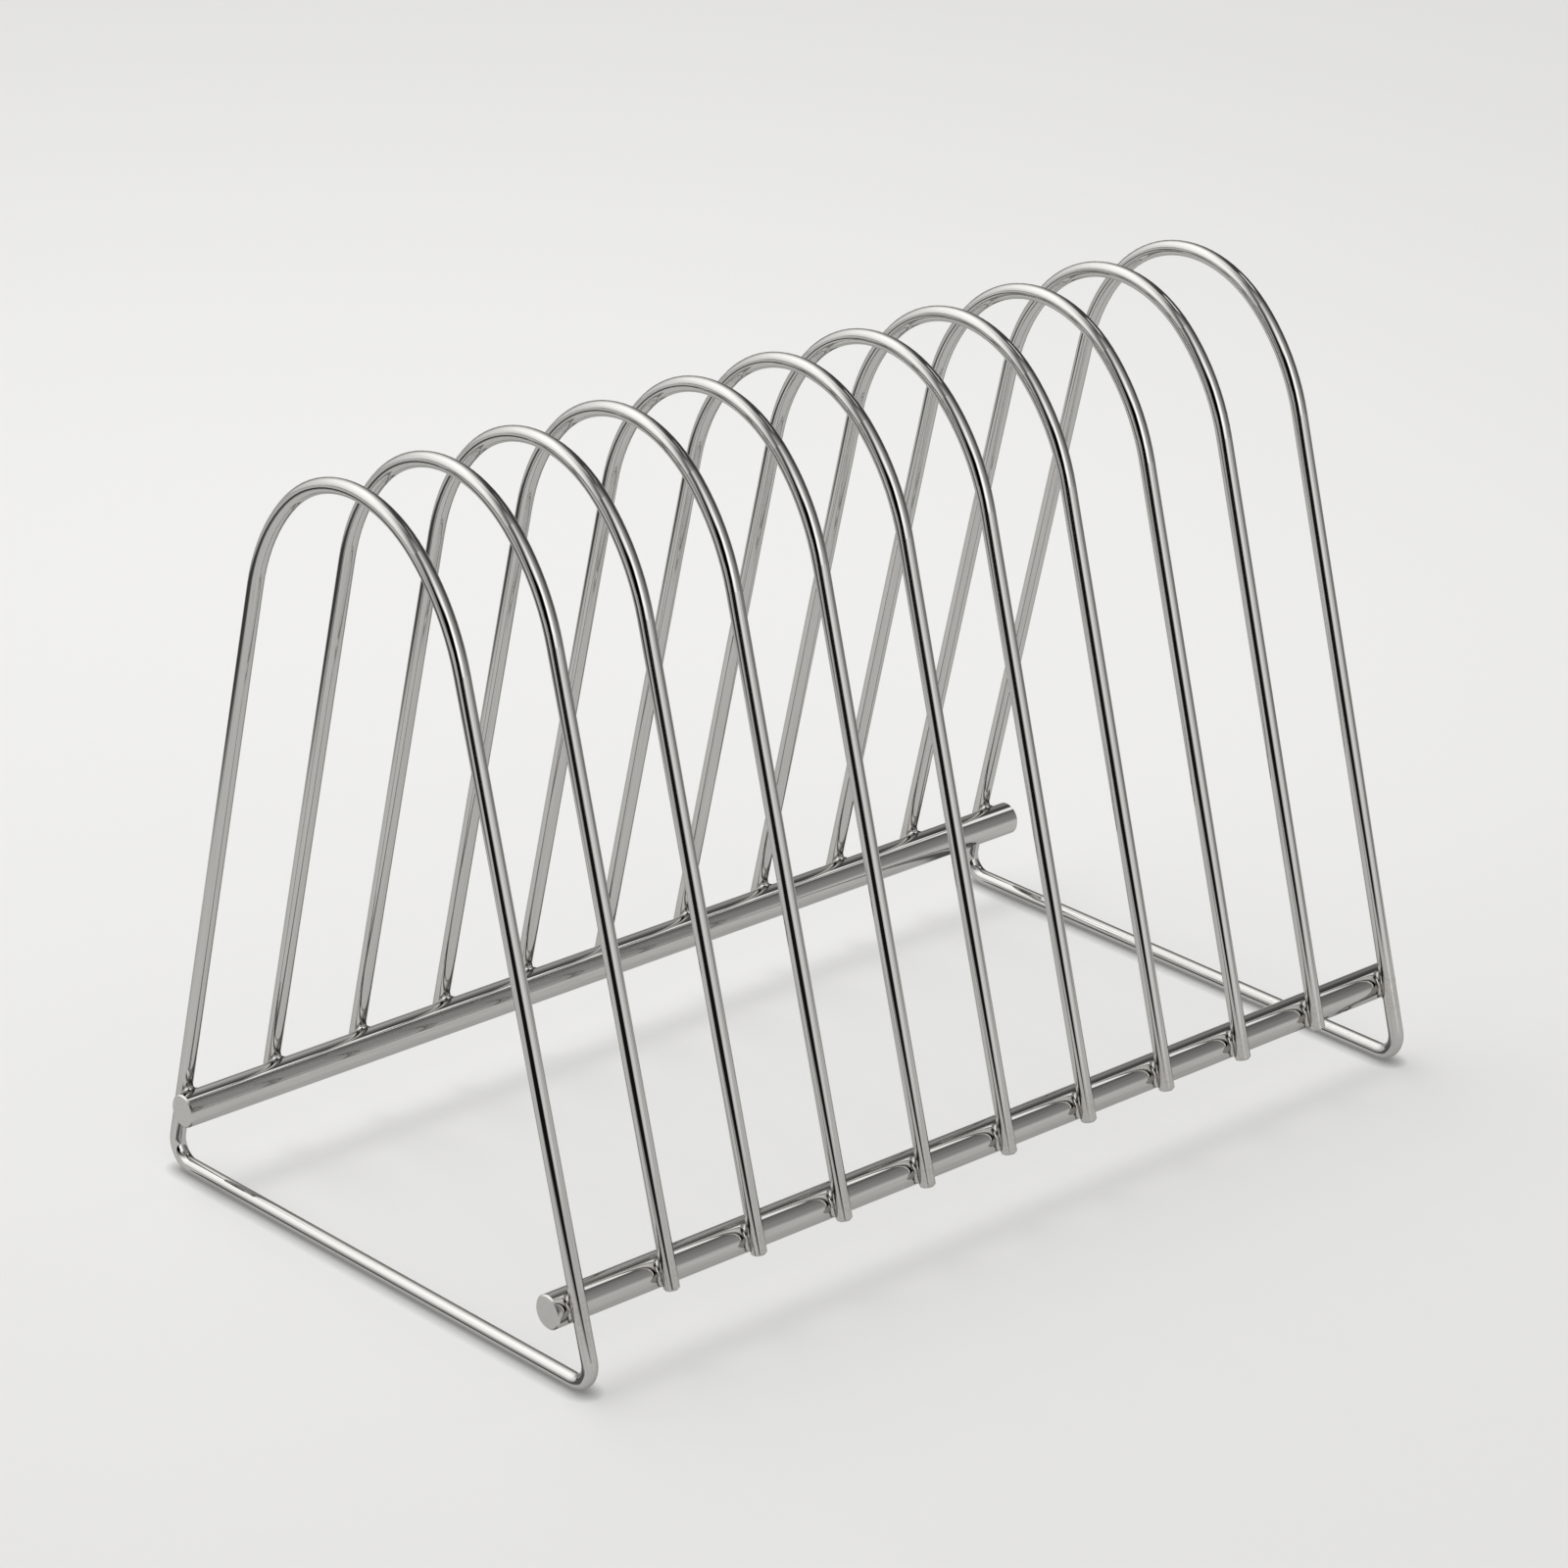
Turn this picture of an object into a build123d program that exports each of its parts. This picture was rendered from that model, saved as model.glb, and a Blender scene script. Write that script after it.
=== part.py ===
"""Wire toast rack: a row of bent hoops welded to the outer sides of two round rails.

The rack stands in its own frame: +X runs along the rails, +Y across them, +Z up.
The origin is on the table, under the middle of the rack. All sizes are in millimetres.
"""

import os
from math import cos, radians, sin

from build123d import *

# ---------------------------------------------------------------- driving dimensions

# The row of hoops
hoop_count = 11                 # the first and last are the closed end frames
hoop_pitch = 20.5               # from one hoop's centre line to the next
rack_height = 153.6             # from the table to the top of the hoops

# The bent wire: a crown, two shoulders and two splayed legs, each tangent to the next
wire_diameter = 3.0
crown_radius = 26.8             # centre line radius over the top
crown_half_angle = 42.0         # degrees from the top to where a shoulder starts
shoulder_radius = 38.5          # centre line radius from the crown down to the leg
leg_splay = 14.7                # degrees that a leg leans out from upright
leg_tail = 3.1                  # how far a cropped leg runs on past the middle of its weld
crop_edge_break = 0.4           # bevel that the tumbled end of a cropped leg has
foot_bend_radius = 4.3          # centre line radius where an end frame turns under

# The rails, which lie inside the legs
rail_diameter = 6.6
rail_height = 15.0              # rail axis above the table
rail_overhang = 3.7             # from an end frame's centre line to the end of the rail
rail_edge_break = 0.3           # bevel on the sheared end of a rail

# The welds
weld_setdown = 0.2              # how deep the hot wire sinks into the rail

# ---------------------------------------------------------------- places that follow

wire_radius = wire_diameter / 2
rail_radius = rail_diameter / 2
row_length = (hoop_count - 1) * hoop_pitch
rail_length = row_length + 2 * rail_overhang
hoop_places = [number * hoop_pitch - row_length / 2 for number in range(hoop_count)]

# Directions and points in the plane of a hoop, on its +Y side, with X for +Y and Y for +Z
out_of_leg = Vector(cos(radians(leg_splay)), sin(radians(leg_splay)))
down_leg = Vector(sin(radians(leg_splay)), -cos(radians(leg_splay)))
out_of_shoulder = Vector(sin(radians(crown_half_angle)), cos(radians(crown_half_angle)))

crown_centre = Vector(0, rack_height - wire_radius - crown_radius)
shoulder_centre = crown_centre - out_of_shoulder * (shoulder_radius - crown_radius)
leg_top = shoulder_centre + out_of_leg * shoulder_radius


def leg_point_beside(height, inset):
    """Return the point of the leg's centre line that is square to a point inside the leg.

    That inner point lies at the given height, and at the given inset from the centre line.
    """
    drop = leg_top.Y - inset * out_of_leg.Y - height
    return leg_top + down_leg * (drop / -down_leg.Y)


weld_depth = wire_radius + rail_radius - weld_setdown
weld_middle = leg_point_beside(rail_height, weld_depth)
rail_axis = weld_middle - out_of_leg * weld_depth
leg_end = weld_middle + down_leg * leg_tail

foot_bend_top = leg_point_beside(wire_radius + foot_bend_radius, foot_bend_radius)
foot_bend_centre = foot_bend_top - out_of_leg * foot_bend_radius
base_end = Vector(foot_bend_centre.X, wire_radius)

# ---------------------------------------------------------------- bent wires


def on_side(point, side):
    """Return the point's place on the +Y (side 1) or -Y (side -1) half of a hoop."""
    return (side * point.X, point.Y)


def bend_arch(end_of_leg):
    """Draw the hoop's centre line from one leg's end, over the top, to the other's."""
    shoulder_turn = 90 - crown_half_angle - leg_splay
    Line(on_side(end_of_leg, 1), on_side(leg_top, 1))
    CenterArc(on_side(shoulder_centre, 1), shoulder_radius, leg_splay, shoulder_turn)
    CenterArc(on_side(crown_centre, 1), crown_radius, 90 - crown_half_angle, 2 * crown_half_angle)
    CenterArc(on_side(shoulder_centre, -1), shoulder_radius, 90 + crown_half_angle, shoulder_turn)
    Line(on_side(leg_top, -1), on_side(end_of_leg, -1))


def bend_foot():
    """Draw an end frame's two foot bends and the straight wire between them."""
    bend_turn = 90 + leg_splay
    CenterArc(on_side(foot_bend_centre, -1), foot_bend_radius, 180 - leg_splay, bend_turn)
    Line(on_side(base_end, -1), on_side(base_end, 1))
    CenterArc(on_side(foot_bend_centre, 1), foot_bend_radius, -90, bend_turn)


def make_open_hoop(x):
    """Make a hoop whose two cropped legs end just past the rails."""
    with BuildPart() as hoop:
        with BuildLine(Plane.YZ.offset(x)) as centre_line:
            bend_arch(leg_end)
        with BuildSketch(Plane(centre_line.line @ 0, z_dir=centre_line.line % 0)):
            Circle(wire_radius)
        sweep(path=centre_line.line)
        cropped_ends = hoop.faces().filter_by(GeomType.PLANE)
        chamfer(cropped_ends.edges(), crop_edge_break)
    return hoop.part


def make_end_frame(x):
    """Make a closed frame whose base wire stands on the table."""
    with BuildPart() as end_frame:
        with BuildLine(Plane.YZ.offset(x)) as centre_line:
            bend_arch(foot_bend_top)
            bend_foot()
        with BuildSketch(Plane(centre_line.line @ 0, z_dir=centre_line.line % 0)):
            Circle(wire_radius)
        sweep(path=centre_line.line)
    return end_frame.part


# ---------------------------------------------------------------- rails


def make_back_rail():
    """Make the +Y rail, with a shallow seat where each leg has sunk into it."""
    with BuildPart() as rail:
        with BuildSketch(Plane.YZ):
            with Locations(on_side(rail_axis, 1)):
                Circle(rail_radius)
        extrude(amount=rail_length / 2, both=True)
        chamfer(rail.edges().filter_by(GeomType.CIRCLE), rail_edge_break)
        for x in hoop_places:
            up_leg = (0, -down_leg.X, -down_leg.Y)
            with BuildSketch(Plane((x, weld_middle.X, weld_middle.Y), x_dir=(1, 0, 0), z_dir=up_leg)):
                Circle(wire_radius)
            extrude(amount=rail_diameter, both=True, mode=Mode.SUBTRACT)
    return rail.part


def make_front_rail():
    """Make the -Y rail, which is the back one mirrored."""
    with BuildPart() as rail:
        mirror(make_back_rail(), about=Plane.XZ)
    return rail.part


# ---------------------------------------------------------------- the assembly

pieces = {
    "left_end_frame": make_end_frame(hoop_places[0]),
    "right_end_frame": make_end_frame(hoop_places[-1]),
    "front_rail": make_front_rail(),
    "back_rail": make_back_rail(),
}
for number, x in enumerate(hoop_places[1:-1], start=1):
    pieces[f"divider_hoop_{number}"] = make_open_hoop(x)

os.makedirs("parts", exist_ok=True)
for name, piece in pieces.items():
    piece.label = name
    export_step(piece, f"parts/{name}.step")
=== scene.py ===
"""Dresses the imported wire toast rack: polished metal, weld fillets, a pale floor and studio light."""

import math
import random

import bmesh
import bpy
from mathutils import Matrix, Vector


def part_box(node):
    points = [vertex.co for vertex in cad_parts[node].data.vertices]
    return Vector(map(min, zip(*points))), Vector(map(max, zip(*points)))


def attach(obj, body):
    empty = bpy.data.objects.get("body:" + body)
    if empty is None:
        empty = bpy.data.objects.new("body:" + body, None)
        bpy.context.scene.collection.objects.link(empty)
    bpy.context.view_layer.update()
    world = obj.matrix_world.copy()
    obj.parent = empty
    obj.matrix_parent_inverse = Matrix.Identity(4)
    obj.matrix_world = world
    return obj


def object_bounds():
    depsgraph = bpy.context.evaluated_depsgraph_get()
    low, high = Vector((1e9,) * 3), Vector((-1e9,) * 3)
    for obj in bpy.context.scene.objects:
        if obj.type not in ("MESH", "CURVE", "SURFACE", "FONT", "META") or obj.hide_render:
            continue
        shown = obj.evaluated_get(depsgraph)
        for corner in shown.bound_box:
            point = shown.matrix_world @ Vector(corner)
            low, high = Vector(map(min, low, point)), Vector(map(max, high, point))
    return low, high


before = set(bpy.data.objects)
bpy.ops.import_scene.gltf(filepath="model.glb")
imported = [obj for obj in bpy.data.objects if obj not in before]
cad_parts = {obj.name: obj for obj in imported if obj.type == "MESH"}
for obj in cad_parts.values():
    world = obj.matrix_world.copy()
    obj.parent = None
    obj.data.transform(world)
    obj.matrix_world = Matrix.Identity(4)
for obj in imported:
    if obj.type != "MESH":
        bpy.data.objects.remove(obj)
cad_low, cad_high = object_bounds()

# ---------------------------------------------------------------- sizes of the object, in metres

MM = 0.001
LEG_SPLAY = math.radians(14.7)    # how far a leg leans out from upright
CROWN_RADIUS = 26.8 * MM          # centre line over the top of a hoop
CROWN_HALF_ANGLE = math.radians(42)
SHOULDER_RADIUS = 38.5 * MM
FOOT_BEND_RADIUS = 4.3 * MM
WELD_SETDOWN = 0.2 * MM           # how deep a leg sinks into its rail

ROOT = "root"
LEFT_FRAME, RIGHT_FRAME = "left_end_frame", "right_end_frame"
RAILS = {"front_rail": -1, "back_rail": 1}        # which side of the rack, in Y
HOOPS = sorted(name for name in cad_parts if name.startswith("divider_hoop_"))
WIRES = [LEFT_FRAME, RIGHT_FRAME, *HOOPS]


def middle_and_size(node):
    """Return the middle of a CAD node's box, and its size."""
    low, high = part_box(node)
    return (low + high) / 2, high - low


WIRE_RADIUS = middle_and_size(HOOPS[0])[1].x / 2
RAIL_RADIUS = middle_and_size("back_rail")[1].z / 2
RAIL_AXIS = middle_and_size("back_rail")[0]
HOOP_PLACES = sorted(middle_and_size(name)[0].x for name in WIRES)
HOOP_PITCH = HOOP_PLACES[1] - HOOP_PLACES[0]
LEG_DISTANCE = WIRE_RADIUS + RAIL_RADIUS - WELD_SETDOWN

# Where the arcs of a hoop's centre line have their middles, and where its legs start
CROWN_Z = cad_high.z - WIRE_RADIUS - CROWN_RADIUS
SHOULDER_Y = -(SHOULDER_RADIUS - CROWN_RADIUS) * math.sin(CROWN_HALF_ANGLE)
SHOULDER_Z = CROWN_Z - (SHOULDER_RADIUS - CROWN_RADIUS) * math.cos(CROWN_HALF_ANGLE)
LEG_TOP_Y = SHOULDER_Y + SHOULDER_RADIUS * math.cos(LEG_SPLAY)
LEG_TOP_Z = SHOULDER_Z + SHOULDER_RADIUS * math.sin(LEG_SPLAY)

# ---------------------------------------------------------------- shader node helpers


class Graph:
    """A few short ways to add linked nodes to one node tree."""

    def __init__(self, tree):
        self.tree = tree
        tree.nodes.clear()

    def node(self, kind, settings=(), **inputs):
        """Add a node. In the name of an input, an underscore stands for a space."""
        made = self.tree.nodes.new(kind)
        for name, value in dict(settings).items():
            setattr(made, name, value)
        for name, value in inputs.items():
            self.put(made.inputs[name.replace("_", " ")], value)
        return made

    def put(self, socket, value):
        """Link a socket to a node's output, or set it to a constant."""
        if isinstance(value, bpy.types.NodeSocket):
            self.tree.links.new(value, socket)
        else:
            socket.default_value = value

    def fill(self, made, sockets, values):
        """Put each value in its socket, which is named or counted."""
        for socket, value in zip(sockets, values):
            self.put(made.inputs[socket], value)

    def point(self):
        """Return the shaded point, in the CAD frame."""
        return self.node("ShaderNodeTexCoord").outputs["Object"]

    def parts(self, vector):
        """Return the x, y and z of a vector."""
        return self.node("ShaderNodeSeparateXYZ", Vector=vector).outputs

    def math(self, operation, *values):
        made = self.node("ShaderNodeMath", {"operation": operation})
        self.fill(made, range(len(values)), values)
        return made.outputs[0]

    def smooth(self, value, start, end, low=0.0, high=1.0):
        """Go smoothly from low to high while the value goes from start to end."""
        made = self.node("ShaderNodeMapRange", {"interpolation_type": "SMOOTHSTEP"})
        names = ("Value", "From Min", "From Max", "To Min", "To Max")
        self.fill(made, names, (value, start, end, low, high))
        return made.outputs[0]

    def fade(self, value, steps):
        """Rise from 0 to 1 between the first two steps, and fall back between the last two."""
        rising = self.smooth(value, steps[0], steps[1])
        falling = self.smooth(value, steps[2], steps[3], 1.0, 0.0)
        return self.math("MULTIPLY", rising, falling)

    def choose(self, amount, first, second):
        """Return first where the amount is 0, second where it is 1."""
        made = self.node("ShaderNodeMix", {"data_type": "FLOAT"})
        self.fill(made, (0, 2, 3), (amount, first, second))
        return made.outputs[0]

    def tint(self, amount, first, second):
        """Mix two colours."""
        made = self.node("ShaderNodeMix", {"data_type": "RGBA"})
        self.fill(made, (0, 6, 7), (amount, first, second))
        return made.outputs[2]

    def blend(self, share, first, second):
        """Mix two shaders: all of the first where the share is 0, all of the second where it is 1."""
        made = self.node("ShaderNodeMixShader")
        self.fill(made, (0, 1, 2), (share, first.outputs[0], second.outputs[0]))
        return made.outputs[0]

    def scaled(self, parts, factors):
        """Return the vector of these parts, each times its factor."""
        made = self.node("ShaderNodeCombineXYZ")
        products = [self.math("MULTIPLY", part, factor) for part, factor in zip(parts, factors)]
        self.fill(made, range(len(products)), products)
        return made.outputs[0]

    def noise(self, vector, scale=1.0, detail=3.0, roughness=0.5):
        made = self.node("ShaderNodeTexNoise", Vector=vector, Scale=scale, Detail=detail,
                         Roughness=roughness)
        return made.outputs["Fac"]

    def outside_circle(self, first, second, radius):
        """Return how far outside a circle of that radius the point (first, second) lies."""
        squares = self.math("ADD", self.math("MULTIPLY", first, first),
                            self.math("MULTIPLY", second, second))
        return self.math("SUBTRACT", self.math("SQRT", squares), radius)

    def azimuth(self, x, y, seam):
        """Return the azimuth of (x, y) in degrees, from the seam round to the seam again."""
        degrees = self.math("DEGREES", self.math("ARCTAN2", y, x))
        past_seam = self.math("FLOORED_MODULO", self.math("SUBTRACT", degrees, seam), 360.0)
        return self.math("ADD", past_seam, seam)


def new_material(name):
    """Return an empty material, and the graph of its nodes."""
    material = bpy.data.materials.new(name)
    material.use_nodes = True
    return material, Graph(material.node_tree)


def rgb(red, green, blue):
    return (red, green, blue, 1.0)


# ---------------------------------------------------------------- metal

STEEL = rgb(0.530, 0.525, 0.510)
STEEL_SHADE = rgb(0.490, 0.485, 0.470)
HEAT_TINT = rgb(0.430, 0.405, 0.370)
SHEARED_STEEL = rgb(0.540, 0.535, 0.520)
EDGE_TINT = rgb(0.58, 0.58, 0.57)   # how much of the light a grazing view gives back

# How quickly each pattern changes, per metre
LINES = 3600                      # drawing lines, across the wire
STREAKS = 45                      # the same lines, along it
WIRE_HAZE, RAIL_HAZE = 70, 60     # handling haze
SPECKS = 1500                     # heat mottling
SHEARED_GRAIN = (200, 900, 4200)  # torn lines on the cut face of a rail, in x, y and z
WELD_RIPPLE, WELD_PATCHES = 1700, 420

# The part of a noise's range over which a pattern goes from none to full
UPPER_RANGE, MIDDLE_RANGE = (0.35, 0.75), (0.3, 0.7)
NOISE_MIDDLE = 0.5

WIRE_ROUGHNESS = (0.030, 0.062)
RAIL_ROUGHNESS = (0.030, 0.065)
SHEARED_ROUGHNESS = (0.34, 0.48)
WELD_ROUGHNESS = (0.12, 0.22)
HEATED_ROUGHNESS = 0.08           # more, where the weld's heat mottled the metal
HEATED_SHARE = 0.5                # how much of the heat's tint shows at most
WIRE_HEATED = (2.0 * MM, 6.5 * MM)    # above and below the rail's axis
RAIL_HEATED = (1.8 * MM, 4.2 * MM)    # beside a leg
SHEARED_FACING = (0.45, 0.85)     # how squarely a cut face of the rail faces along X
Y_SHARE = 0.6                     # how much Y adds to Z in the distance along the wire

# The strength and the distance of each bump
LINE_BUMP = (0.05, 0.01 * MM)
WELD_BUMP = (0.06, 0.03 * MM)


def finish_metal(graph, colour, roughness, height, bump):
    """Give the metal its colour and roughness, with the height as a bump."""
    strength, distance = bump
    surface = graph.node("ShaderNodeBump", Strength=strength, Distance=distance, Height=height)
    shader = graph.node("ShaderNodeBsdfPrincipled", Base_Color=colour, Roughness=roughness,
                        Metallic=1.0, Normal=surface.outputs[0])
    shader.inputs["Specular Tint"].default_value = EDGE_TINT
    graph.node("ShaderNodeOutputMaterial", Surface=shader.outputs[0])


def across_wire(graph, side_y, z):
    """Return how far a point lies outside the centre line of a bent wire, in the hoop's plane."""
    out_y = graph.math("MULTIPLY", graph.math("SUBTRACT", side_y, LEG_TOP_Y), math.cos(LEG_SPLAY))
    out_z = graph.math("MULTIPLY", graph.math("SUBTRACT", z, LEG_TOP_Z), math.sin(LEG_SPLAY))
    leg = graph.math("ADD", out_y, out_z)
    shoulder = graph.outside_circle(graph.math("SUBTRACT", side_y, SHOULDER_Y),
                                    graph.math("SUBTRACT", z, SHOULDER_Z), SHOULDER_RADIUS)
    above_crown = graph.math("SUBTRACT", z, CROWN_Z)
    crown = graph.outside_circle(side_y, above_crown, CROWN_RADIUS)
    crown_edge = graph.math("MULTIPLY", side_y, 1 / math.tan(CROWN_HALF_ANGLE))
    in_crown = graph.math("GREATER_THAN", above_crown, crown_edge)
    above_leg = graph.math("GREATER_THAN", z, LEG_TOP_Z)
    in_base = graph.math("LESS_THAN", z, FOOT_BEND_RADIUS)
    base = graph.math("SUBTRACT", WIRE_RADIUS, z)
    arch = graph.choose(above_leg, leg, graph.choose(in_crown, shoulder, crown))
    return graph.choose(in_base, arch, base)


def wire_metal():
    """Polished drawn wire: faint lines along it, handling haze, and a heated band at each weld."""
    material, graph = new_material("polished_drawn_wire")
    point = graph.point()
    x, y, z = graph.parts(point)
    across = across_wire(graph, graph.math("ABSOLUTE", y), z)
    along = graph.math("ADD", z, graph.math("MULTIPLY", y, Y_SHARE))
    lines = graph.noise(graph.scaled((x, across, along), (LINES, LINES, STREAKS)), detail=2.0)
    haze = graph.noise(point, scale=WIRE_HAZE, detail=4.0, roughness=0.6)
    specks = graph.noise(point, scale=SPECKS, detail=1.0)

    from_weld = graph.math("ABSOLUTE", graph.math("SUBTRACT", z, RAIL_AXIS.z))
    heated = graph.math("MULTIPLY", graph.smooth(from_weld, *WIRE_HEATED, 1.0, 0.0), HEATED_SHARE)
    mottled = graph.math("MULTIPLY", heated, graph.smooth(specks, *MIDDLE_RANGE))
    colour = graph.tint(graph.smooth(lines, *UPPER_RANGE), STEEL, STEEL_SHADE)
    colour = graph.tint(mottled, colour, HEAT_TINT)
    roughness = graph.math("ADD", graph.smooth(haze, *UPPER_RANGE, *WIRE_ROUGHNESS),
                           graph.math("MULTIPLY", mottled, HEATED_ROUGHNESS))
    finish_metal(graph, colour, roughness, lines, LINE_BUMP)
    return material


def rail_metal():
    """Polished rod: faint lines along it, a satin sheared face at each end, and heated weld seats."""
    material, graph = new_material("polished_rod")
    point = graph.point()
    x, y, z = graph.parts(point)
    lines = graph.noise(graph.scaled((x, y, z), (STREAKS, LINES / 2, LINES / 2)), detail=2.0)
    haze = graph.noise(point, scale=RAIL_HAZE, detail=4.0, roughness=0.6)
    grain = graph.noise(graph.scaled((x, y, z), SHEARED_GRAIN))
    specks = graph.noise(point, scale=SPECKS, detail=1.0)

    pitches = graph.math("DIVIDE", graph.math("SUBTRACT", x, HOOP_PLACES[0]), HOOP_PITCH)
    off_hoop = graph.math("ABSOLUTE", graph.math("SUBTRACT", pitches, graph.math("ROUND", pitches)))
    near_hoop = graph.smooth(graph.math("MULTIPLY", off_hoop, HOOP_PITCH), *RAIL_HEATED, 1.0, 0.0)
    side_y = graph.math("ABSOLUTE", y)
    outside = graph.smooth(side_y, RAIL_AXIS.y, RAIL_AXIS.y + RAIL_RADIUS)
    mottled = graph.math("MULTIPLY", graph.math("MULTIPLY", near_hoop, outside),
                         graph.smooth(specks, *MIDDLE_RANGE, 0.0, HEATED_SHARE))

    facing = graph.parts(graph.node("ShaderNodeNewGeometry").outputs["Normal"])
    sheared = graph.smooth(graph.math("ABSOLUTE", facing[0]), *SHEARED_FACING)
    colour = graph.tint(graph.smooth(lines, *UPPER_RANGE), STEEL, STEEL_SHADE)
    colour = graph.tint(mottled, colour, HEAT_TINT)
    colour = graph.tint(sheared, colour, SHEARED_STEEL)
    polished = graph.math("ADD", graph.smooth(haze, *UPPER_RANGE, *RAIL_ROUGHNESS),
                          graph.math("MULTIPLY", mottled, HEATED_ROUGHNESS))
    roughness = graph.choose(sheared, polished, graph.smooth(grain, *MIDDLE_RANGE, *SHEARED_ROUGHNESS))
    finish_metal(graph, colour, roughness, graph.choose(sheared, lines, grain), LINE_BUMP)
    return material


def weld_metal():
    """Weld metal, polished with the rack: finely rippled, and heat tinted in patches."""
    material, graph = new_material("polished_weld")
    point = graph.point()
    ripple = graph.noise(point, scale=WELD_RIPPLE, roughness=0.55)
    patches = graph.noise(point, scale=WELD_PATCHES, detail=2.0)
    colour = graph.tint(graph.smooth(patches, *UPPER_RANGE, 0.0, HEATED_SHARE), STEEL, HEAT_TINT)
    roughness = graph.smooth(ripple, *MIDDLE_RANGE, *WELD_ROUGHNESS)
    finish_metal(graph, colour, roughness, ripple, WELD_BUMP)
    return material


# ---------------------------------------------------------------- making objects


def add_object(name, data):
    """Put an object with this data in the scene."""
    made = bpy.data.objects.new(name, data)
    bpy.context.scene.collection.objects.link(made)
    return made


def add_mesh(name, mesh, material):
    """Turn mesh code into an object of one material."""
    data = bpy.data.meshes.new(name)
    mesh.to_mesh(data)
    mesh.free()
    data.materials.append(material)
    return add_object(name, data)


# ---------------------------------------------------------------- weld fillets

FILLET_RADIUS = 0.32 * MM         # of the hollow beside a leg
FILLET_RISE = 0.50 * MM           # how much larger it is above and below the rail
FILLET_VARIATION = 0.06           # how much one weld's fillet differs round its edge and from the next
FILLET_WAVES = {2: 0.5, 3: 0.3, 5: 0.2}    # how many waves run round its edge, and how strong each is
FILLET_STEPS = 56                 # round the joint
FILLET_ARC_STEPS = 8              # across the hollow
FILLET_ROOT = 0.35                # how deep its buried edge lies, as a share of the wire's radius
REACH_STEPS = 60                  # halvings in the search for the ball that rolls round the joint
REACH_LIMIT = 1.5                 # how far out it starts, over the rail's and the ball's radii together
WELD_SEED = 11


def out_from_rail(up, radius):
    """Return how far out from the rail's axis a ball that touches the rail lies."""
    return math.sqrt(max((RAIL_RADIUS + radius) ** 2 - up * up, 0.0))


def ball_reach(turn, radius):
    """Return how far from the joint a ball lies that touches both the leg and the rail.

    The turn is measured round the line that joins the two axes, from the direction up the leg.
    """
    near, far = 0.0, (RAIL_RADIUS + radius) * REACH_LIMIT
    for _ in range(REACH_STEPS):
        reach = (near + far) / 2
        up, beside = reach * math.cos(turn), reach * math.sin(turn)
        above_leg = out_from_rail(up, radius) - LEG_DISTANCE
        gap = beside * beside + above_leg ** 2 - (WIRE_RADIUS + radius) ** 2
        near, far = (reach, far) if gap < 0 else (near, reach)
    return reach


def fillet_section(turn, radius):
    """Return the points of the hollow from the leg to the rail, and one point buried between them.

    Each is (up the leg, along the rail, out from the rail's axis).
    """
    reach = ball_reach(turn, radius)
    up, beside = reach * math.cos(turn), reach * math.sin(turn)
    ball = Vector((up, beside, out_from_rail(up, radius)))
    to_leg = (Vector((up, 0, LEG_DISTANCE)) - ball).normalized()
    to_rail = (Vector((0, beside, 0)) - ball).normalized()
    points = [ball + to_leg.slerp(to_rail, step / FILLET_ARC_STEPS) * radius
              for step in range(FILLET_ARC_STEPS + 1)]
    inward = (to_leg + to_rail).normalized()
    buried = (points[0] + points[-1]) / 2 + inward * WIRE_RADIUS * FILLET_ROOT
    return points + [buried]


def fillet_radius_at(turn, phases, fullness):
    """Return the radius of the hollow at a turn round the joint."""
    wave = sum(strength * math.sin(count * turn + phase)
               for (count, strength), phase in zip(FILLET_WAVES.items(), phases))
    even = FILLET_RADIUS + FILLET_RISE * math.cos(turn) ** 2
    return even * (1 + FILLET_VARIATION * (fullness + wave))


def add_fillet(mesh, x, side, chance):
    """Add the closed ring of weld metal round one crossing of a leg and its rail."""
    phases = [chance.uniform(0, 2 * math.pi) for _ in FILLET_WAVES]
    fullness = chance.uniform(-0.5, 0.5)
    up_leg = Vector((0, -side * math.sin(LEG_SPLAY), math.cos(LEG_SPLAY)))
    outward = Vector((0, side * math.cos(LEG_SPLAY), math.sin(LEG_SPLAY)))
    centre = Vector((x, side * RAIL_AXIS.y, RAIL_AXIS.z))
    rings = []
    for step in range(FILLET_STEPS):
        turn = 2 * math.pi * step / FILLET_STEPS
        section = fillet_section(turn, fillet_radius_at(turn, phases, fullness))
        places = [centre + up_leg * p.x + Vector((p.y, 0, 0)) + outward * p.z for p in section]
        rings.append([mesh.verts.new(place) for place in places])
    for ring, following in zip(rings, rings[1:] + rings[:1]):
        for here in range(len(ring)):
            beyond = (here + 1) % len(ring)
            mesh.faces.new((ring[here], ring[beyond], following[beyond], following[here]))


def make_welds(rail, side, material):
    """Make the eleven weld fillets of one rail, as one piece."""
    chance = random.Random(WELD_SEED + side)
    mesh = bmesh.new()
    for x in HOOP_PLACES:
        add_fillet(mesh, x, side, chance)
    bmesh.ops.recalc_face_normals(mesh, faces=mesh.faces)
    for face in mesh.faces:
        face.smooth = True
    welds = add_mesh(f"{rail}_welds", mesh, material)
    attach(welds, ROOT)


# ---------------------------------------------------------------- floor

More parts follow.
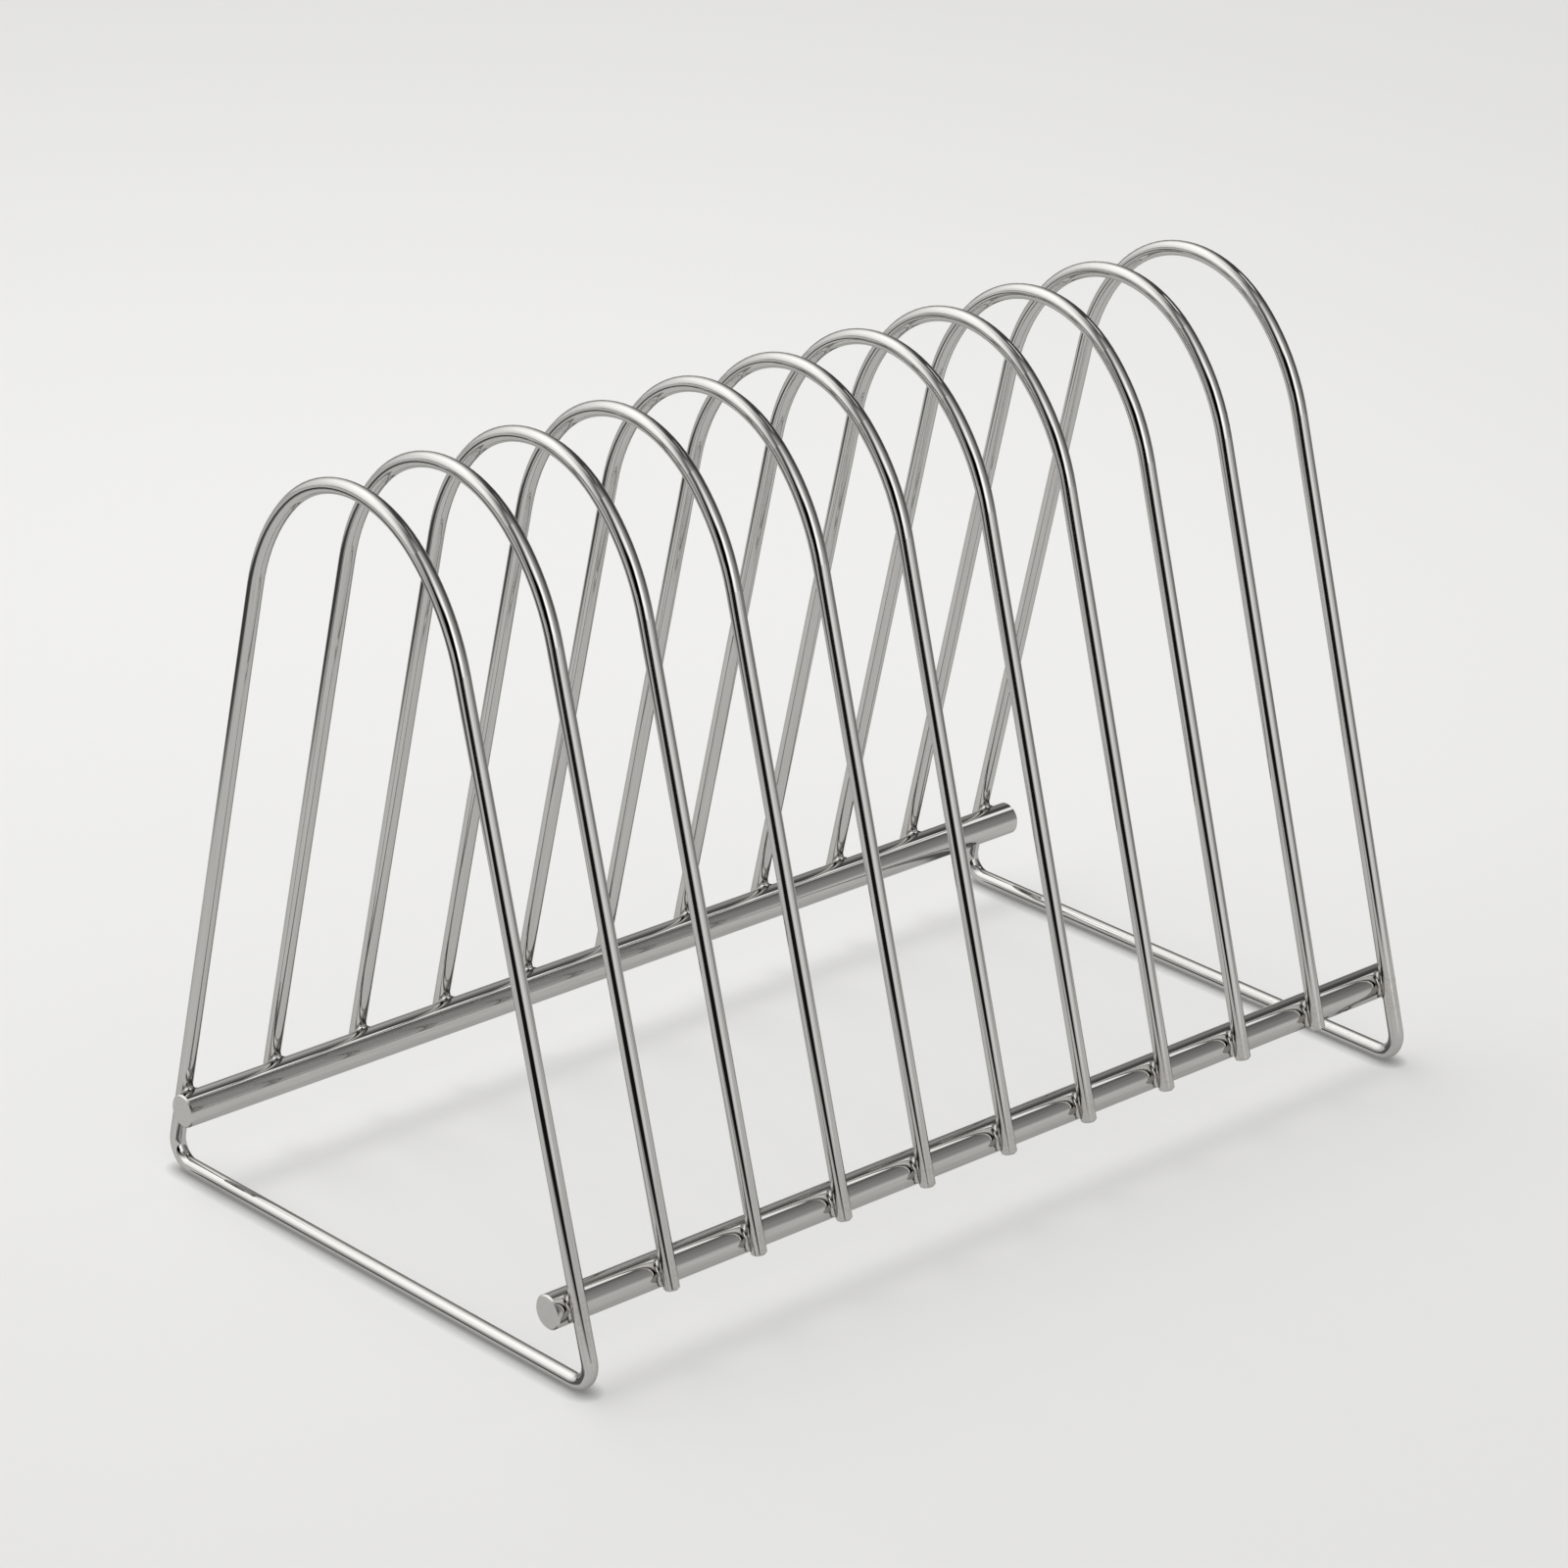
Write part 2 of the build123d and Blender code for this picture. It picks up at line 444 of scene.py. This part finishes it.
# The floor's colour holds painted light: a pool of it, brightest behind the rack and darker out towards
# the edge.
FLOOR_PAINTED_LIGHT_COLOUR = rgb(0.863, 0.861, 0.851)
FLOOR_EDGE_COLOUR = rgb(0.731, 0.729, 0.720)
FLOOR_PAINTED_LIGHT_SPOT = (0.098, 0.290)    # the middle of the painted pool of light, where it is brightest, in metres
FLOOR_DEPTH_SCALE = 0.96              # how quickly the painted light fades along Y, as a share of along X
FLOOR_FADE = 0.72                     # how far from the spot the painted light has faded and the floor is darkest
FLOOR_CLOUDS = 2.5                    # how quickly its faint unevenness changes, per metre
FLOOR_UNEVENNESS = 0.06
FLOOR_GLOW = 0.50                     # the share of the floor's look that no shadow reaches
FLOOR_ROUGHNESS, FLOOR_SHEEN = 0.75, 0.2
FLOOR_RADIUS = 9.0
FLOOR_SIDES = 96
PAINTED_CONTACT_SHADOW_COLOUR = rgb(0.317, 0.315, 0.308)    # painted contact shadow, where a wire touches it
CONTACT_REACH = 3.0 * MM
CONTACT_FADE = (0.60, 0.95)           # how much open sky is left where it starts and ends


def seen_directly(graph):
    """Return 1 for the camera and for reflections, 0 for the light that falls on the rack."""
    path = graph.node("ShaderNodeLightPath").outputs
    seen = graph.math("MAXIMUM", path["Is Camera Ray"], path["Is Glossy Ray"])
    return graph.math("MAXIMUM", seen, path["Is Transmission Ray"])


def floor_colour(graph):
    """Return a colour with a painted pool of light, brightest behind the rack, with faint clouds, and a
    painted contact shadow where a wire touches.
    """
    point = graph.point()
    x, y, _ = graph.parts(point)
    spot_x, spot_y = FLOOR_PAINTED_LIGHT_SPOT
    off_x = graph.math("SUBTRACT", x, spot_x)
    off_y = graph.math("MULTIPLY", graph.math("SUBTRACT", y, spot_y), FLOOR_DEPTH_SCALE)
    away = graph.outside_circle(off_x, off_y, 0.0)
    cloud = graph.noise(point, scale=FLOOR_CLOUDS, detail=2.0)
    uneven = graph.math("MULTIPLY", graph.math("SUBTRACT", cloud, NOISE_MIDDLE), FLOOR_UNEVENNESS)
    # Painted light: lighter near the spot behind the rack, darker away from it, with faint clouds.
    colour = graph.tint(graph.math("ADD", graph.smooth(away, 0.0, FLOOR_FADE), uneven),
                        FLOOR_PAINTED_LIGHT_COLOUR, FLOOR_EDGE_COLOUR)
    # Painted contact shadow: for the camera alone, the floor is darker where little open sky is left
    # near a wire.
    sky = graph.node("ShaderNodeAmbientOcclusion", {"samples": 2}, Distance=CONTACT_REACH)
    in_view = graph.node("ShaderNodeLightPath").outputs["Is Camera Ray"]
    painted_contact_shadow = graph.smooth(sky.outputs["AO"], *CONTACT_FADE, 1.0, 0.0)
    return graph.tint(graph.math("MULTIPLY", painted_contact_shadow, in_view), colour, PAINTED_CONTACT_SHADOW_COLOUR)


def floor_material():
    """A matt pale sheet, partly lit from within so that shadows stay soft."""
    material, graph = new_material("pale_floor")
    colour = floor_colour(graph)
    sheet = graph.node("ShaderNodeBsdfPrincipled", Base_Color=colour, Roughness=FLOOR_ROUGHNESS)
    sheet.inputs["Specular IOR Level"].default_value = FLOOR_SHEEN
    glow = graph.node("ShaderNodeEmission", Color=colour, Strength=1.0)
    share = graph.math("MULTIPLY", seen_directly(graph), FLOOR_GLOW)
    graph.node("ShaderNodeOutputMaterial", Surface=graph.blend(share, sheet, glow))
    return material


def stand_on_stage(name, mesh, material):
    """Turn mesh code into an object of the studio, not of the rack, at the height of the rack's foot."""
    made = add_mesh(name, mesh, material)
    made.location.z = cad_low.z
    return made


def make_floor():
    """Make the round floor."""
    mesh = bmesh.new()
    bmesh.ops.create_circle(mesh, cap_ends=True, radius=FLOOR_RADIUS, segments=FLOOR_SIDES)
    stand_on_stage("floor", mesh, floor_material())


# ---------------------------------------------------------------- dark cards, for reflections alone

# Cards that lie on the floor. Each is part of a ring round the rack: the azimuths in degrees, and the
# distances in metres, between which it fades in and out, and its tone.
CARDS = {
    "black_card": dict(across=(186, 193, 236, 248), reach=(0.19, 0.35, 8.0, 8.5), tone=0.01),
    "grey_card": dict(across=(312, 326, 388, 404), reach=(0.30, 0.38, 8.0, 8.5), tone=0.34),
    "back_card": dict(across=(98, 108, 154, 174), reach=(0.24, 0.36, 0.45, 0.56), tone=0.08),
}
CARD_SEAM = 60                    # the azimuth that no card reaches across
CARD_STEPS = 32
CARD_LIFT = 1 * MM                # above the floor

# The narrow shade beside each base wire: how far towards -X from the wire's middle it fades in and out
SHADE_REACH = (2.6 * MM, 3.8 * MM, 7.5 * MM, 13.0 * MM)
SHADE_LIFT = 0.1 * MM
SHADE_TONE = 0.15


def finish_card(graph, inside, tone):
    """Show a plain tone where inside is 1, and nothing where it is 0."""
    clear = graph.node("ShaderNodeBsdfTransparent")
    card = graph.node("ShaderNodeEmission", Color=rgb(tone, tone, tone), Strength=1.0)
    graph.node("ShaderNodeOutputMaterial", Surface=graph.blend(inside, clear, card))


def lay_card(name, mesh, material):
    """Lay a card on the floor, seen by reflections alone."""
    card = stand_on_stage(name, mesh, material)
    card.visible_camera = False
    card.visible_diffuse = False
    card.visible_shadow = False


def card_material(name, across, reach, tone):
    """A card of one tone, which fades out at its edges."""
    material, graph = new_material(name)
    x, y, _ = graph.parts(graph.point())
    inside = graph.math("MULTIPLY", graph.fade(graph.azimuth(x, y, CARD_SEAM), across),
                        graph.fade(graph.outside_circle(x, y, 0.0), reach))
    finish_card(graph, inside, tone)
    return material


def make_card(name, across, reach, tone):
    """Make one card, as a part of a flat ring."""
    mesh = bmesh.new()
    first, last = math.radians(across[0]), math.radians(across[-1])
    turns = [first + (last - first) * step / CARD_STEPS for step in range(CARD_STEPS + 1)]
    edges = [[mesh.verts.new((away * math.cos(turn), away * math.sin(turn), CARD_LIFT))
              for away in (reach[0], reach[-1])] for turn in turns]
    for (near, far), (next_near, next_far) in zip(edges, edges[1:]):
        mesh.faces.new((near, far, next_far, next_near))
    lay_card(name, mesh, card_material(name, across, reach, tone))


def make_shade(end_frame):
    """Lay the shade beside a base wire, which the wire's lower half reflects as a dark line."""
    name = f"{end_frame}_shade"
    wire_x = middle_and_size(end_frame)[0].x
    material, graph = new_material(name)
    x, _, _ = graph.parts(graph.point())
    finish_card(graph, graph.fade(graph.math("SUBTRACT", wire_x, x), SHADE_REACH), SHADE_TONE)

    left, right = wire_x - SHADE_REACH[-1], wire_x - SHADE_REACH[0]
    front, back = cad_low.y + FOOT_BEND_RADIUS, cad_high.y - FOOT_BEND_RADIUS
    corners = (left, front), (right, front), (right, back), (left, back)
    mesh = bmesh.new()
    mesh.faces.new([mesh.verts.new((*corner, SHADE_LIFT)) for corner in corners])
    lay_card(name, mesh, material)


# ---------------------------------------------------------------- light

# Each soft panel, in degrees: the azimuths and elevations between which it fades in and fades out,
# and how bright it is. Azimuth 0 lies towards +X, and 90 towards +Y.
SOFT_PANELS = {
    "key": dict(across=(28, 86, 153, 201), up=(-15, 34, 36, 73), strength=1.70),
    "fill": dict(across=(204, 237, 238, 289), up=(0, 12, 25, 88), strength=1.79),
    "front": dict(across=(232, 261, 262, 360), up=(-8, -1, 65, 79), strength=0.58),
    "front_sweep": dict(across=(222, 240, 275, 338), up=(-30, -6, 1, 11), strength=0.42),
    "back_sweep": dict(across=(80, 91, 141, 159), up=(-30, -10, -9, 25), strength=0.75),
    "overhead": dict(across=(16, 104, 105, 231), up=(35, 63, 100, 130), strength=1.40),
    "strip": dict(across=(339, 347, 366, 374), up=(44, 49, 58, 64), strength=1.40),
}
# Where the dark between the panels shows, at the left and low at the back, and how dark it is
GAPS = {
    "left": dict(across=(186, 193, 227, 240), up=(-6, -2, 24, 36), depth=1.0),
    "back": dict(across=(121, 129, 145, 154), up=(-8, -3, 2, 8), depth=0.6),
}
PANEL_SEAM = 15                   # the azimuth that no panel reaches across
ROOM_COLOUR = rgb(1.0, 0.996, 0.984)
ROOM_STRENGTH = 0.083
ZENITH_STRENGTH = 0.70            # straight above
ZENITH_FADE = (76, 88)            # the elevations between which the room turns into it

LAMP_ELEVATION = math.radians(63)  # of the lamp that draws the shadows, towards +Y
LAMP_ANGLE = math.radians(20)     # how wide the lamp is, which softens the shadows
LAMP_STRENGTH = 0.70


def light_room():
    """Light the rack from a dim room with soft panels: the key behind it, the fill in front of it."""
    world = bpy.data.worlds.new("studio")
    bpy.context.scene.world = world
    world.use_nodes = True
    graph = Graph(world.node_tree)
    x, y, z = graph.parts(graph.node("ShaderNodeTexCoord").outputs["Generated"])
    azimuth = graph.azimuth(x, y, PANEL_SEAM)
    elevation = graph.math("DEGREES", graph.math("ARCSINE", z))

    def inside(area):
        return graph.math("MULTIPLY", graph.fade(azimuth, area["across"]),
                          graph.fade(elevation, area["up"]))

    total = ROOM_STRENGTH
    for panel in SOFT_PANELS.values():
        total = graph.math("ADD", total, graph.math("MULTIPLY", inside(panel), panel["strength"]))
    for gap in GAPS.values():
        total = graph.choose(graph.math("MULTIPLY", inside(gap), gap["depth"]), total, 0.0)
    total = graph.choose(graph.smooth(elevation, *ZENITH_FADE), total, ZENITH_STRENGTH)
    background = graph.node("ShaderNodeBackground", Color=ROOM_COLOUR, Strength=total)
    graph.node("ShaderNodeOutputWorld", Surface=background.outputs[0])


def light_floor():
    """Add the soft lamp behind the rack that draws the rails' shadows. The metal doesn't show it."""
    lamp = bpy.data.lights.new("shadow_lamp", "SUN")
    lamp.energy, lamp.angle, lamp.color = LAMP_STRENGTH, LAMP_ANGLE, ROOM_COLOUR[:3]
    made = add_object("shadow_lamp", lamp)
    made.rotation_euler = (LAMP_ELEVATION - math.pi / 2, 0, 0)
    made.visible_glossy = False


# ---------------------------------------------------------------- camera

CAMERA_AZIMUTH = math.radians(-41.38)     # 0 looks from -Y, and -90 from -X
CAMERA_ELEVATION = math.radians(22.66)
CAMERA_ROLL = math.radians(-0.08)
CAMERA_DISTANCE = 1.12195
CAMERA_TARGET = Vector((-0.00342, 0.0, 0.06978))
LENS, SENSOR = 137.1, 36.0                # in millimetres


def make_camera():
    """Add the camera, where the photograph was taken from."""
    data = bpy.data.cameras.new("camera")
    data.lens, data.sensor_width = LENS, SENSOR
    camera = add_object("camera", data)
    level = math.cos(CAMERA_ELEVATION)
    back = Vector((math.sin(CAMERA_AZIMUTH) * level, -math.cos(CAMERA_AZIMUTH) * level,
                   math.sin(CAMERA_ELEVATION)))
    camera.location = CAMERA_TARGET + back * CAMERA_DISTANCE
    camera.rotation_euler = (-back).to_track_quat("-Z", "Y").to_euler()
    camera.rotation_euler.rotate_axis("Z", CAMERA_ROLL)
    bpy.context.scene.camera = camera


# ---------------------------------------------------------------- the scene


def dress(names, material):
    """Give CAD nodes their finished material."""
    for name in names:
        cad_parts[name].material_slots[0].material = material


dress(WIRES, wire_metal())
dress(RAILS, rail_metal())
weld_finish = weld_metal()
for rail, side in RAILS.items():
    make_welds(rail, side, weld_finish)

make_floor()
for card, settings in CARDS.items():
    make_card(card, **settings)
for end_frame in (LEFT_FRAME, RIGHT_FRAME):
    make_shade(end_frame)
light_room()
light_floor()
make_camera()
bpy.context.scene.view_settings.view_transform = "Standard"
